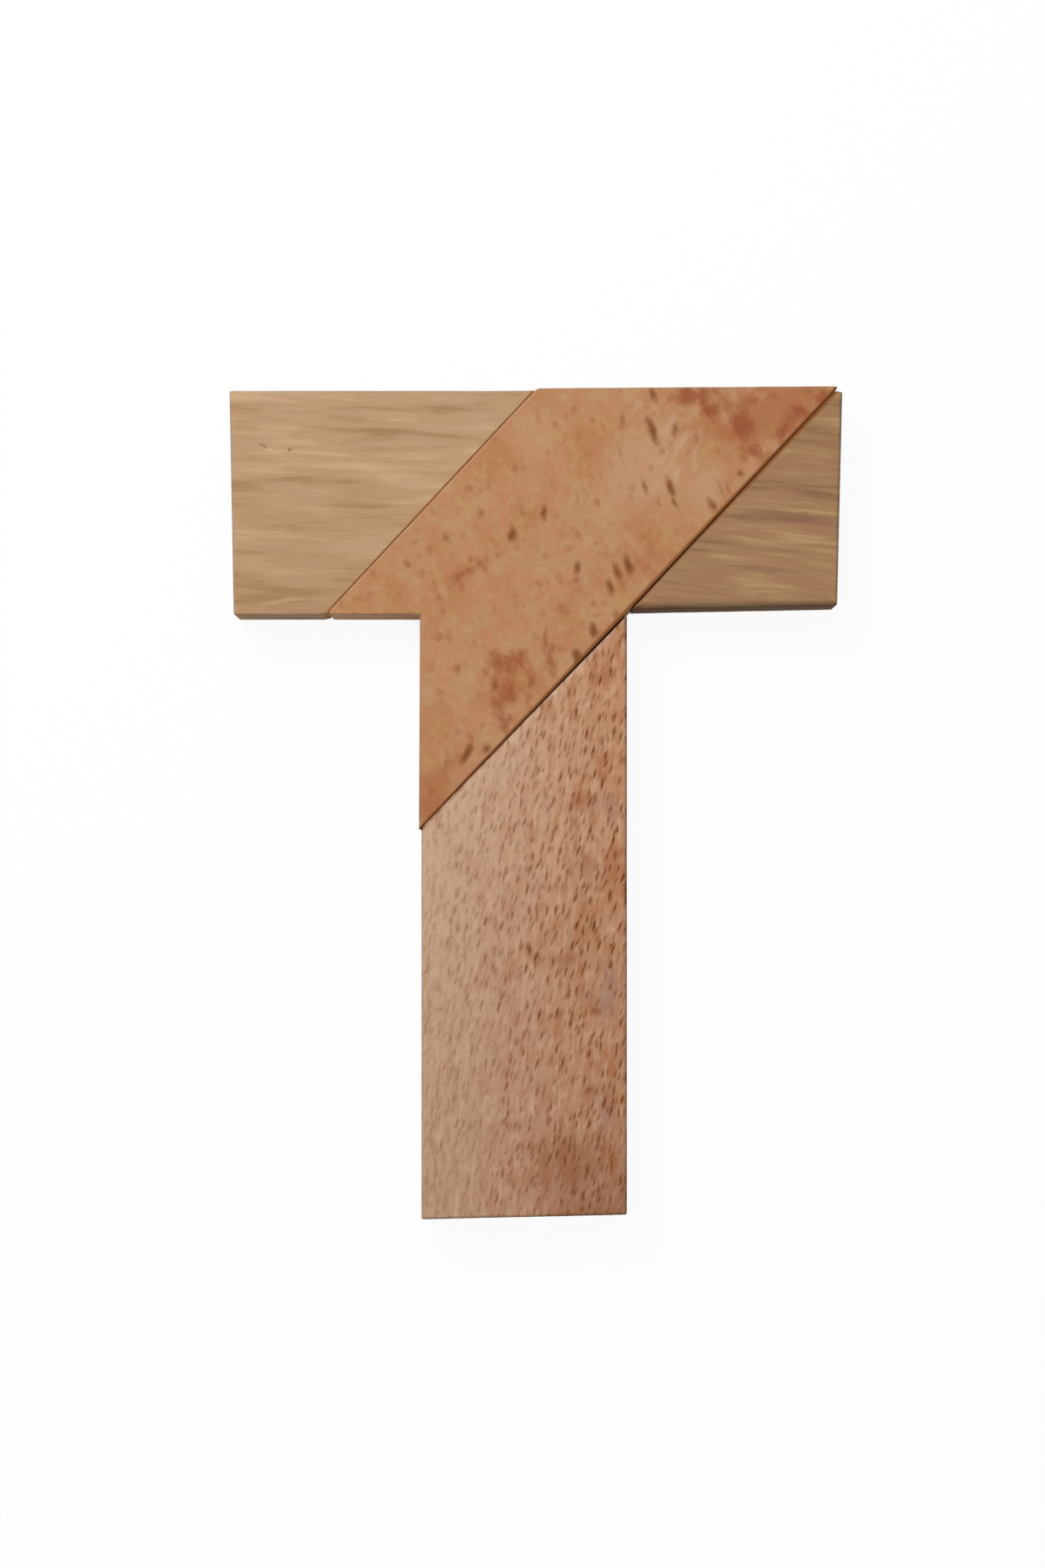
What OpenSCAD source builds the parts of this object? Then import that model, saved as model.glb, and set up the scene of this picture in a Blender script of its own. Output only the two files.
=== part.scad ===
// T puzzle of four flat wooden pieces, laid out as the finished letter.
// The letter lies on its back: x runs to its right, y to its top, and z is the thickness of the wood.
// Every side of a piece is one straight cut, and every cut is set against the inner corner on the
// left of the letter, where the bar's lower side meets the stem's left side. That corner is [0, 0]
// until the finished letter is moved to the middle of its own outline.

/* [Wood] */
// Thickness of the board that the pieces are cut from
thickness = 10; // [5:0.5:18]
// How far the sanding of the upper and lower rims reaches in from each side
rim_ease = 0.6; // [0.2:0.1:1.5]
// How far the rounding of an upright corner reaches along its two sides
corner_ease = 0.8; // [0.3:0.1:2]

/* [Letter] */
// Width of the bar, from its lower side to its top
bar_width = 43.7; // [38:0.1:52]
// Width of the stem
stem_width = 40; // [34:0.1:48]
// Length of the stem's left side, from the bar down to the foot
stem_length = 117.6; // [85:0.1:150]
// Reach of the bar past the stem on the left, measured along the top
left_reach = 37.1; // [30:0.1:48]
// Length of the middle piece's lower side, from the inner corner out to its tip
arm_foot = 18.6; // [10:0.1:24]

/* [Cuts] */
// Angle of the left arm's slanted cut, measured from the bar
cut_angle = 47; // [43:0.5:49]
// Clearance between two pieces that lie side by side
joint_gap = 0.3; // [0.1:0.05:0.6]

/* [Hand fitting] */
// Lean of the bar's left end, in degrees
left_end_lean = 1.1; // [0:0.1:2]
// Lean of the bar's right end, in degrees
right_end_lean = 1.4; // [0:0.1:2]
// Height of the middle piece's top above the left arm's top, at the inner corner
middle_proud = 0.35; // [0:0.05:1]
// Rise of the middle piece's top from left to right, in degrees
top_rise = 0.4; // [0:0.1:1]
// Lean of the middle piece's upright side, in degrees
leg_lean = 0.3; // [0:0.1:1]
// Where the long cut crosses the bar's lower side, inside the stem's right side
crossing_inset = 0.75; // [0:0.05:1.5]
// Angle by which the long cut lies flatter than the left arm's cut, in degrees
long_cut_lag = 0.2; // [0:0.1:1]
// Angle by which the joint of the right arm opens downwards, in degrees
right_joint_opening = 0.2; // [0:0.1:0.6]
// Angle by which the joint of the stem opens upwards, in degrees
stem_joint_opening = 0.3; // [0:0.1:0.6]
// Height of the right arm's lower side above the bar's lower side, at the stem
right_arm_rise = 1.1; // [0.5:0.1:3]
// Slope of the right arm's lower side, in degrees
right_arm_slope = 1.1; // [0:0.1:2]
// How far the right arm's end stands out past the middle piece's tip
right_end_margin = 1.1; // [0.5:0.1:2]
// Depth of the right arm's blunt tip below the left arm's top
blunt_tip_drop = 0.3; // [0.2:0.1:2]
// Offset of the stem to the right of the inner corner
stem_offset = 0.3; // [0:0.1:0.8]
// Slope of the stem's foot, in degrees
foot_slope = 1.3; // [0:0.1:2]

/* [Hidden] */
// Directions in the plane of the letter, in degrees
rightwards = 0;
upwards = rightwards + 90;
// Radius of a sanded arc against that of an arc which runs smoothly into both of its faces
arc_fullness = 1.2;
// Reach of a straight cut to both sides of its start, longer than any piece
cut_reach = 2 * (stem_length + bar_width);
// Facets of a full turn in a preview
$fn = 48;

// A step of length 1 in a direction
function step(angle) = [cos(angle), sin(angle)];

// Where the line through p in direction a crosses the line through q in direction b
function meet(p, a, q, b) = p + step(a) * cross(q - p, step(b)) / cross(step(a), step(b));

// A point moved sideways, to the right of a direction
function aside(p, angle, distance) = p + step(angle - 90) * distance;

inner_corner = [0, 0];
bar_top = [0, bar_width];
middle_top = [0, bar_width + middle_proud];

// The middle piece, from its left tip round by the top
long_cut_angle = cut_angle - long_cut_lag;
bar_crossing = [stem_width - crossing_inset, 0];
left_tip = [-arm_foot, 0];
left_shoulder = meet(left_tip, cut_angle, middle_top, top_rise);
right_tip = meet(bar_crossing, long_cut_angle, middle_top, top_rise);
bottom_tip = meet(bar_crossing, long_cut_angle, inner_corner, upwards - leg_lean);

// The left arm, from its lower left corner
left_end_top = [-left_reach, bar_width];
left_end_bottom = meet(left_end_top, upwards + left_end_lean, inner_corner, rightwards);
left_joint_start = aside(left_tip, cut_angle, -joint_gap);
left_joint_bottom = meet(left_joint_start, cut_angle, inner_corner, rightwards);
left_joint_top = meet(left_joint_start, cut_angle, bar_top, rightwards);

// The right arm, from its slanted lower tip
right_cut_angle = long_cut_angle + right_joint_opening;
right_joint_start = aside(right_tip, long_cut_angle, joint_gap);
right_arm_floor = [stem_width, right_arm_rise];
right_arm_roof = [0, bar_width - blunt_tip_drop];
right_end_top = [right_tip[0] + right_end_margin, bar_width];
right_joint_bottom = meet(right_joint_start, right_cut_angle, right_arm_floor, right_arm_slope);
right_end_bottom = meet(right_end_top, upwards - right_end_lean, right_arm_floor, right_arm_slope);
blunt_tip_right = meet(right_end_top, upwards - right_end_lean, right_arm_roof, rightwards);
blunt_tip_left = meet(right_joint_start, right_cut_angle, right_arm_roof, rightwards);

// The stem, from the left end of its foot
stem_cut_angle = long_cut_angle - stem_joint_opening;
stem_joint_start = aside(bottom_tip, long_cut_angle, joint_gap);
foot_left = [stem_offset, -stem_length];
stem_right = [stem_offset + stem_width, 0];
foot_right = meet(foot_left, foot_slope, stem_right, upwards);
stem_tip = meet(stem_joint_start, stem_cut_angle, stem_right, upwards);
stem_shoulder = meet(stem_joint_start, stem_cut_angle, foot_left, upwards);

// Middle of the finished letter's outline
letter_middle = [(left_end_top[0] + right_end_top[0]) / 2, (foot_left[1] + right_tip[1]) / 2];

// What sanding takes off a corner of a flat outline. The corner's two sides run off in the
// directions a and b, and the sanded arc meets each of them at the given distance.
module corner_waste(corner, a, b, ease) {
    half_angle = acos(step(a) * step(b)) / 2;
    inward = (step(a) + step(b)) / norm(step(a) + step(b));
    away_from_a = (step(a) * cos(half_angle) - inward) / sin(half_angle);
    away_from_b = (step(b) * cos(half_angle) - inward) / sin(half_angle);
    arc_radius = arc_fullness * ease * tan(half_angle);
    arc_depth = sqrt(arc_radius ^ 2 - (ease * sin(half_angle)) ^ 2);
    middle = corner + inward * (ease * cos(half_angle) + arc_depth);
    clear_of_wood = 2 * arc_radius;
    difference() {
        polygon([
            middle,
            middle + away_from_a * clear_of_wood,
            corner - inward * clear_of_wood,
            middle + away_from_b * clear_of_wood
        ]);
        translate(middle)
            rotate(atan2(inward[1], inward[0]))
                circle(r = arc_radius);
    }
}

// Section of a board behind one straight cut, with both rims sanded
module wood_section() {
    difference() {
        square([cut_reach, thickness]);
        rim_wastes();
    }
}

// Section of the open side of the same cut, which reaches past both faces of the board
module open_section() {
    translate([-cut_reach, -thickness / 2])
        square([cut_reach, 2 * thickness]);
    rim_wastes();
}

// What sanding takes off the lower and the upper rim of a cut
module rim_wastes() {
    corner_waste([0, 0], rightwards, upwards, rim_ease);
    corner_waste([0, thickness], rightwards, -upwards, rim_ease);
}

// Runs a section along a straight cut from one point to another, and past both
module along_cut(from, to) {
    run = to - from;
    translate(from)
        rotate(atan2(run[1], run[0]))
            translate([-cut_reach / 2, 0, 0])
                rotate([90, 0, 90])
                    linear_extrude(cut_reach) children();
}

// Sanded waste along an upright corner between the sides to its two neighbours
module upright_corner_waste(before, corner, after) {
    back = before - corner;
    ahead = after - corner;
    translate([0, 0, -thickness / 2])
        linear_extrude(2 * thickness)
            corner_waste(corner, atan2(back[1], back[0]), atan2(ahead[1], ahead[0]), corner_ease);
}

// Waste at every upright corner of an outline that goes round its piece to the left
module upright_waste(outline) {
    count = len(outline);
    for (i = [0 : count - 1])
        upright_corner_waste(outline[(i + count - 1) % count], outline[i], outline[(i + 1) % count]);
}

// A flat piece whose corners all point outwards
module straight_sided_piece(outline) {
    count = len(outline);
    difference() {
        intersection_for (i = [0 : count - 1])
            along_cut(outline[i], outline[(i + 1) % count]) wood_section();
        upright_waste(outline);
    }
}

// Moves the letter's middle to the origin
module in_place() {
    translate(-letter_middle) children();
}

// The left end of the bar
module left_arm() {
    color("burlywood") in_place()
        straight_sided_piece([left_end_bottom, left_joint_bottom, left_joint_top, left_end_top]);
}

// The middle of the bar. Its arm ends at the inner corner and its leg hangs down from there. The
// two sides in between are the arm's lower side and the leg's left side.
module notched_pentagon() {
    color("peru") in_place() difference() {
        intersection() {
            along_cut(bottom_tip, right_tip) wood_section();
            along_cut(right_tip, left_shoulder) wood_section();
            along_cut(left_shoulder, left_tip) wood_section();
        }
        intersection() {
            along_cut(left_tip, inner_corner) open_section();
            along_cut(inner_corner, bottom_tip) open_section();
        }
        upright_corner_waste(inner_corner, bottom_tip, right_tip);
        upright_corner_waste(bottom_tip, right_tip, left_shoulder);
        upright_corner_waste(right_tip, left_shoulder, left_tip);
        upright_corner_waste(left_shoulder, left_tip, inner_corner);
    }
}

// The right end of the bar, a triangle with a blunt upper tip
module right_arm() {
    color("tan") in_place()
        straight_sided_piece([right_joint_bottom, right_end_bottom, blunt_tip_right, blunt_tip_left]);
}

// The upright of the letter
module stem() {
    color("navajowhite") in_place()
        straight_sided_piece([foot_left, foot_right, stem_tip, stem_shoulder]);
}

left_arm();
notched_pentagon();
right_arm();
stem();
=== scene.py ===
# %% [markdown]
# A wooden T puzzle has four loose pieces: the two ends of a bar, a notched piece in its middle
# and a long stem. They lie flat on a white ground, side by side, with hairline joints between.
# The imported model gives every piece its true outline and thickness. This script adds what a
# close look at real wood shows: hand-sanded rims that are never quite even, and four kinds of
# grain. It works in millimetres while it thinks, and turns to metres when it makes a mesh.

# %% Frame
import math

import bmesh
import bpy
import numpy as np
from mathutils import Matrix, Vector, geometry, noise


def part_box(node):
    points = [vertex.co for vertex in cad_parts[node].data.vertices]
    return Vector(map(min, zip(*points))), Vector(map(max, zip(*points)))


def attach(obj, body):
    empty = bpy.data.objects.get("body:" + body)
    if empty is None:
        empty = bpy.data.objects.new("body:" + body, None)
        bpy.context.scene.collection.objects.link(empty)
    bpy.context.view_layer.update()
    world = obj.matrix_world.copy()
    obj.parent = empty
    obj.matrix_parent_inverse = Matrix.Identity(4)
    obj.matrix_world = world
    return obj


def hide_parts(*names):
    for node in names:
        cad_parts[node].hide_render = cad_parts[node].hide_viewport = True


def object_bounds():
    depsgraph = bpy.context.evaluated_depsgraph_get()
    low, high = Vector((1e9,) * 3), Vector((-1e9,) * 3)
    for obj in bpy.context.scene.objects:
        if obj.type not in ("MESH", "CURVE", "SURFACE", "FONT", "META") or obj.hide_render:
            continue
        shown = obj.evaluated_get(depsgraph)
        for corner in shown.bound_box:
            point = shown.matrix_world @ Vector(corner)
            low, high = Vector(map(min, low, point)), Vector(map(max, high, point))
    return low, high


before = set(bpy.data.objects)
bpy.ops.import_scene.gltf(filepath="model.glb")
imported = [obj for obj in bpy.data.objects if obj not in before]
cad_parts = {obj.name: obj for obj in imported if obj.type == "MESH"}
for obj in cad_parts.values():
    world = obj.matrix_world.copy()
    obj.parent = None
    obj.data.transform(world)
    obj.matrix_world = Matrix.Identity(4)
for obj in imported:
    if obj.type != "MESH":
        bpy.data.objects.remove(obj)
cad_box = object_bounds()
MM = 0.001
thickness = cad_box[1][2] / MM
print("pieces:", sorted(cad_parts), "thickness", round(thickness, 2), "mm")

# %% [markdown]
# Every piece is a flat board with straight saw cuts, so its form is one outline pushed through
# the wood. The outline could be typed in again, but then it could drift away from the model. It
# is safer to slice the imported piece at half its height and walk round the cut.

# %% Outlines
def slice_outline(name):
    """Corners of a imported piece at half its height, in mm and anticlockwise, and its area."""
    solid = bmesh.new()
    solid.from_mesh(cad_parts[name].data)
    bmesh.ops.remove_doubles(solid, verts=solid.verts, dist=0.001 * MM)
    everything = solid.verts[:] + solid.edges[:] + solid.faces[:]
    middle = Vector((0, 0, thickness / 2 * MM))
    cut = bmesh.ops.bisect_plane(solid, geom=everything, plane_co=middle, plane_no=(0, 0, 1))
    rim = [g for g in cut["geom_cut"] if isinstance(g, bmesh.types.BMEdge)]
    beside = {}
    for edge in rim:
        for here in edge.verts:
            beside.setdefault(here, []).append(edge.other_vert(here))
    walk = [rim[0].verts[0], rim[0].verts[1]]
    while True:
        step = [v for v in beside[walk[-1]] if v is not walk[-2]][0]
        if step is walk[0]:
            break
        walk.append(step)
    loop = np.array([[v.co.x, v.co.y] for v in walk]) / MM
    solid.free()
    ahead = np.roll(loop, -1, axis=0)
    area = (loop[:, 0] * ahead[:, 1] - ahead[:, 0] * loop[:, 1]).sum() / 2
    return (loop if area > 0 else loop[::-1]), abs(area)


sliced = {}
for name in sorted(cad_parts):
    sliced[name], area = slice_outline(name)
    print(name, "has", len(sliced[name]), "outline points and", round(area), "mm2 of face")

# %% [markdown]
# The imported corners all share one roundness. The real ones differ: most are crisp, but the left
# tip of the notched piece has lost its point. So the two sides of a corner are drawn on to where
# they cross, and the corner gets a small curve of its own. Most wide corners stay as packed.

# %% Corners
LONG_SIDE = 5.0
SHARP_CORNER = math.radians(100)
CORNER_EASE = 0.4
BLUNT_REACH = 1.5
ROOF_LIFT = 0.15
CURVE_STEPS = 6
OWN_EASES = {
    "left_arm": [(-41.6, 36.5, 0.2), (-0.8, 80.2, 0.2)],
    "notched_pentagon": [(-41.2, 36.5, 1.8), (58.6, 81.1, 0.9)],
    "right_arm": [(18.4, 37.6, 0.2)],
    "stem": [(17.7, 36.7, 0.2)],
}


def crossing(a, b, c, d):
    """Where the line through a and b crosses the line through c and d."""
    u, v, w = b - a, d - c, c - a
    return a + u * (w[0] * v[1] - w[1] * v[0]) / (u[0] * v[1] - u[1] * v[0])


def ease_of(name, corner, opening):
    """How far the curve of a corner reaches along its sides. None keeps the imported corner."""
    for x, y, ease in OWN_EASES[name]:
        if np.linalg.norm(corner - (x, y)) < 1:
            return ease
    return CORNER_EASE if opening < SHARP_CORNER else None


def corner_curve(corner, back, ahead, ease):
    """A small curve round a corner, from the side behind it to the side ahead."""
    shares = np.linspace(0, 1, CURVE_STEPS)
    return [corner + (back * (1 - s) ** 2 + ahead * s ** 2) * ease for s in shares]


def blunt_tip(a, b, c, d, roof):
    """A thin tip that is cut off level at a height, with two crisp corners."""
    level = np.array([[0, roof], [1, roof]])
    first = crossing(a, b, level[0], level[1])
    second = crossing(c, d, level[0], level[1])
    across = (second - first) / np.linalg.norm(second - first)
    back = (a - b) / np.linalg.norm(a - b)
    ahead = (d - c) / np.linalg.norm(d - c)
    curves = corner_curve(first, back, across, CORNER_EASE)
    return curves + corner_curve(second, -across, ahead, CORNER_EASE)


def crisp_corners(name, loop):
    """The outline with its sharp corners drawn anew."""
    count = len(loop)
    length = np.linalg.norm(np.roll(loop, -1, axis=0) - loop, axis=1)
    sides = [k for k in range(count) if length[k] > LONG_SIDE]
    result = []
    for side, following in zip(sides, sides[1:] + sides[:1]):
        steps = (following - side - 1) % count
        packed = [loop[(side + 1 + k) % count] for k in range(steps + 1)]
        a, b = loop[side], packed[0]
        c, d = packed[-1], loop[(following + 1) % count]
        back = (a - b) / np.linalg.norm(a - b)
        ahead = (d - c) / np.linalg.norm(d - c)
        opening = math.acos(float(np.clip(back @ ahead, -1, 1)))
        tip = crossing(a, b, c, d)
        ease = ease_of(name, tip, opening)
        if steps == 0 or ease is None:
            result += packed
        elif np.linalg.norm(tip - b) < BLUNT_REACH:
            result += corner_curve(tip, back, ahead, ease)
        else:
            result += blunt_tip(a, b, c, d, max(p[1] for p in packed) + ROOF_LIFT)
    return np.array(result)


crisp = {}
for name, loop in sliced.items():
    crisp[name] = crisp_corners(name, loop)
    print(name, "grew by", (np.abs(crisp[name]).max(0) - np.abs(loop).max(0)).round(2), "mm at its ends")

# %% [markdown]
# A saw and a sanding block leave no hard kinks. The outline still has flat facets, so it is
# walked in tiny steps, blurred a little along its length, and then thinned out again: close
# together at the corners, further apart where the cut runs straight.

# %% Smooth outlines
WALK_STEP = 0.05
CORNER_BLUR = 0.09
CORNER_SPACING = 0.16
STRAIGHT_SPACING = 0.6
CORNER_REACH = 1.6
TURN_SPAN = 6
BUSY_TURN = 0.02
LOOK_STEP = 4


def walk_outline(loop):
    """Points every WALK_STEP along a closed outline."""
    points = []
    for here, there in zip(loop, np.roll(loop, -1, axis=0)):
        count = max(1, round(float(np.linalg.norm(there - here)) / WALK_STEP))
        points += [here + (there - here) * k / count for k in range(count)]
    return np.array(points)


def blur_round(values, sigma):
    """Gaussian blur of values along a closed outline, sigma in steps."""
    reach = math.ceil(3 * sigma)
    offsets = np.arange(-reach, reach + 1)
    weights = np.exp(-offsets ** 2 / (2 * sigma ** 2))
    total = sum(w * np.roll(values, k, axis=0) for k, w in zip(offsets, weights))
    return total / weights.sum()


def turning(points):
    """How much an outline turns close to each point, in radians, signed."""
    run = points - np.roll(points, TURN_SPAN, axis=0)
    angle = np.arctan2(run[:, 1], run[:, 0])
    turn = np.roll(angle, -TURN_SPAN) - angle
    return (turn + np.pi) % (2 * np.pi) - np.pi


def thin_out(points):
    """Chooses points: dense where the outline turns, sparse where it is straight."""
    busy = np.abs(turning(points)) > BUSY_TURN
    reach = int(CORNER_REACH / WALK_STEP)
    near = np.zeros(len(points), bool)
    for shift in range(-reach, reach + 1, LOOK_STEP):
        near |= np.roll(busy, shift)
    chosen, travelled = [0], 0.0
    for i in range(1, len(points)):
        travelled += WALK_STEP
        spacing = CORNER_SPACING if near[i] else STRAIGHT_SPACING
        if travelled >= spacing - WALK_STEP / 2:
            chosen.append(i)
            travelled = 0.0
    return points[chosen]


fine = {name: blur_round(walk_outline(loop), CORNER_BLUR / WALK_STEP) for name, loop in crisp.items()}
smooth = {name: thin_out(points) for name, points in fine.items()}
print("outline points:", {name: len(points) for name, points in smooth.items()})

# %% [markdown]
# The pieces were fitted to each other by hand, so their long sides aren't quite straight. Each
# outline point learns how near the next piece is. There it moves a little, level at the bar's
# joints and upright at the stem's, so that the outer sides keep their lines. What one side gives
# the other takes, so the bar's joints stay thin. The stem's joint opens wider towards its tip.

# %% Joints
TOUCHING, CLOSE = 0.8, 1.2
AT_JOINT = 0.9
LEVEL, UPRIGHT = 0, 1
MOVES = {"left_arm": LEVEL, "right_arm": LEVEL, "stem": UPRIGHT}
ALONG = (0.0, 0.035, 0.5, 1.0)
PUSHES = {
    "left_arm": (0.56, 0.38, 0.38, 0.4),
    "right_arm": (-0.18, -0.16, -0.1, -0.06),
    "stem": (0.38, 0.36, 0.12, -0.18),
}
MIDDLE_PUSHES = {
    "left_arm": (-0.1, -0.12, -0.12, -0.13),
    "right_arm": (0.44, 0.45, 0.4, 0.37),
    "stem": (-0.1, -0.08, 0.17, 0.42),
}


def closeness(points, others):
    """1 where a point lies at a joint with other points, falling to 0 away from it."""
    gap = np.array([math.sqrt(((others - p) ** 2).sum(1).min()) for p in points])
    share = np.clip((CLOSE - gap) / (CLOSE - TOUCHING), 0, 1)
    return share * share * (3 - 2 * share)


def outward(outline):
    """Unit normals that point out of an anticlockwise outline."""
    run = np.roll(outline, -1, axis=0) - np.roll(outline, 1, axis=0)
    run /= np.linalg.norm(run, axis=1)[:, None]
    return np.stack([run[:, 1], -run[:, 0]], 1)


def joint_move(name, points):
    """How far every outline point moves. ALONG says where on a joint each push holds."""
    total, shares = np.zeros((len(points), 2)), np.zeros(len(points))
    for other, share in joints[name].items():
        middle = name == "notched_pentagon"
        partner = other if middle else name
        pushes = MIDDLE_PUSHES[partner] if middle else PUSHES[partner]
        at_joint = share > AT_JOINT
        low, high = points[at_joint][:, 1].min(), points[at_joint][:, 1].max()
        push = np.interp((points[:, 1] - low) / (high - low), ALONG, pushes)
        heading = outward(points)[at_joint].mean(0)
        axis = MOVES[partner]
        total[:, axis] += share * push / heading[axis]
        shares += share
    return total / np.maximum(shares, 1)[:, None]


joints = {}
for name, points in smooth.items():
    joints[name] = {other: closeness(points, fine[other]) for other in fine if other != name}
    joints[name] = {other: share for other, share in joints[name].items() if share.max() > AT_JOINT}
    print(name, "meets", sorted(joints[name]))
for name, points in smooth.items():
    smooth[name] = points + joint_move(name, points)

# %% [markdown]
# Sanding by hand takes more off one stretch of a rim than off the next, and most off the
# corners. Noise along the outline gives that unevenness. At a joint the rims are smaller, and
# each side has its own. Of the lower rims, the right arm's is rubbed down and the others are crisp.

# %% Rims
RIM_EASE = 0.6
JOINT_EASE = {"left_arm": 0.16, "right_arm": 0.26, "stem": 0.42}
MIDDLE_EASE = {"left_arm": 0.3, "right_arm": 0.3, "stem": 0.32}
EASE_SLOW, EASE_QUICK = 0.22, 0.16
SLOW_SIZE, QUICK_SIZE = 11, 1.7
CORNER_WEAR, TURN_WEAR = 0.25, 0.35
LEAST_EASE = 0.12
FACING_DOWN = -0.95
RUBBED_FEET = {"right_arm": 0.7, "left_arm": -0.2, "notched_pentagon": -0.2}
ROUGH = {"stem": 1.9}


def wander(x, y, size, seed):
    """Smooth noise from -1 to 1 over a plane, with features of one size in mm."""
    return noise.noise(Vector((x / size, y / size, seed)))


def rim_ease(name, outline, seed):
    """Reach of the sanded rim at each outline point, in mm."""
    ease = np.full(len(outline), RIM_EASE)
    for other, share in joints[name].items():
        aim = MIDDLE_EASE[other] if name == "notched_pentagon" else JOINT_EASE[name]
        ease += (aim - ease) * share
    ease += np.where(outward(outline)[:, 1] < FACING_DOWN, RUBBED_FEET.get(name, 0), 0)
    rough = EASE_QUICK * ROUGH.get(name, 1.0)
    slow = [EASE_SLOW * wander(x, y, SLOW_SIZE, seed) for x, y in outline]
    quick = [rough * wander(x, y, QUICK_SIZE, seed + 7) for x, y in outline]
    worn = CORNER_WEAR * np.minimum(1, np.abs(turning(outline)) * TURN_WEAR)
    ease *= 1 + np.array(slow) + np.array(quick) + worn
    return np.maximum(ease, LEAST_EASE)


print("rims reach", RIM_EASE, "mm, and at the joints", JOINT_EASE)

# %% [markdown]
# The top of a board is a height field: flat inside, and falling along a soft arc over the last
# half millimetre to the side. Its points follow the outline in rings, close together over the
# arc, with a loose grid in the middle. To know how deep a point lies, each one needs its
# distance to the outline and the place on the outline that is nearest.

# %% Face points
RIM_RINGS = (0.05, 0.11, 0.18, 0.27, 0.39, 0.52, 0.66, 0.85, 1.15)
FACE_SPACING = 1.3
ROW_PITCH = 0.87
RING_SLACK = 0.02


def side_distance(points, outline):
    """Distance of points to an outline, and the outline position that is nearest."""
    run = np.roll(outline, -1, axis=0) - outline
    length = (run ** 2).sum(1)
    best, where = [], []
    for p in points:
        share = np.clip(((p - outline) * run).sum(1) / length, 0, 1)
        gap = np.linalg.norm(outline + run * share[:, None] - p, axis=1)
        k = int(gap.argmin())
        best.append(gap[k])
        where.append(k + share[k])
    return np.array(best), np.array(where)


def inside(points, outline):
    """Which points lie inside an outline."""
    x, y = points[:, 0], points[:, 1]
    odd = np.zeros(len(points), bool)
    for (ax, ay), (bx, by) in zip(outline, np.roll(outline, -1, axis=0)):
        if ay != by:
            crosses = (ay > y) != (by > y)
            odd ^= crosses & (x < (bx - ax) * (y - ay) / (by - ay) + ax)
    return odd


def face_points(outline):
    """The outline, rings that follow it inwards, and a staggered grid in the middle."""
    normal = outward(outline)
    pools = []
    for reach in RIM_RINGS:
        ring = outline - normal * reach
        gap, _ = side_distance(ring, outline)
        pools.append(ring[(gap > reach - RING_SLACK) & inside(ring, outline)])
    low, high = outline.min(0), outline.max(0)
    rows = int((high[1] - low[1]) / (FACE_SPACING * ROW_PITCH)) + 1
    columns = int((high[0] - low[0]) / FACE_SPACING) + 1
    grid = [(low[0] + (c + 0.5 * (r % 2)) * FACE_SPACING, low[1] + r * FACE_SPACING * ROW_PITCH)
            for r in range(rows) for c in range(columns)]
    grid = np.array(grid)
    grid = grid[inside(grid, outline)]
    gap, _ = side_distance(grid, outline)
    pools.append(grid[gap > RIM_RINGS[-1] + 0.5 * FACE_SPACING])
    return np.concatenate([outline] + pools)


faces = {name: face_points(outline) for name, outline in smooth.items()}
print("face points:", {name: len(points) for name, points in faces.items()})

# %% [markdown]
# One function then builds a whole board: the top, the underside and the side between them. The
# sides bulge and dip by a few hundredths of a millimetre, as a sawn side does, so that light
# doesn't slide over them as over glass.

# %% Worn boards
FACE_DIP, DIP_SIZE, DIP_START = 0.05, 17, 4
SIDE_WANDER, BELLY_SIZE = 0.03, 6
SIDE_RINGS = 9
ARC_POWER = 1.7
SHARP_EDGE = math.radians(50)


def arc_drop(reach, ease):
    """How far the sanded arc has fallen below the face at a distance from the side."""
    share = np.clip(1 - reach / ease, 0, 1)
    return ease * (1 - (1 - share ** ARC_POWER) ** (1 / ARC_POWER))


def triangles(points, edge_count):
    """Triangles that fill an outline through all the points inside it."""
    flat = [Vector((float(x), float(y))) for x, y in points]
    made = geometry.delaunay_2d_cdt(flat, [], [list(range(edge_count))], 1, 1e-5)
    source = [first[0] for first in made[3]]
    return [[source[v] for v in face] for face in made[2]]


def face_fall(name, points, outline, seed):
    """How far every face point lies below the flat face, in mm."""
    count = len(outline)
    gap, where = side_distance(points, outline)
    gap[:count] = 0
    where[:count] = np.arange(count)
    ease = rim_ease(name, outline, seed)
    at = where.astype(int) % count
    share = where - where.astype(int)
    reach = ease[at] * (1 - share) + ease[(at + 1) % count] * share
    dip = np.array([FACE_DIP * (0.5 + 0.5 * wander(x, y, DIP_SIZE, seed + 3)) for x, y in points])
    return arc_drop(gap, reach) + dip * np.clip(gap / DIP_START, 0, 1)


def side_ring(outline, z_top, z_bottom, share, seed):
    """One ring of points round the side, a share of the way down."""
    belly = math.sin(math.pi * share) * SIDE_WANDER
    ring = []
    for (x, y), (nx, ny), high, low in zip(outline, outward(outline), z_top, z_bottom):
        z = high * (1 - share) + low * share
        push = belly * (wander(x + y, z * 2, BELLY_SIZE, seed + 11) - 0.5)
        ring.append((x + nx * push, y + ny * push, z))
    return ring


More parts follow.
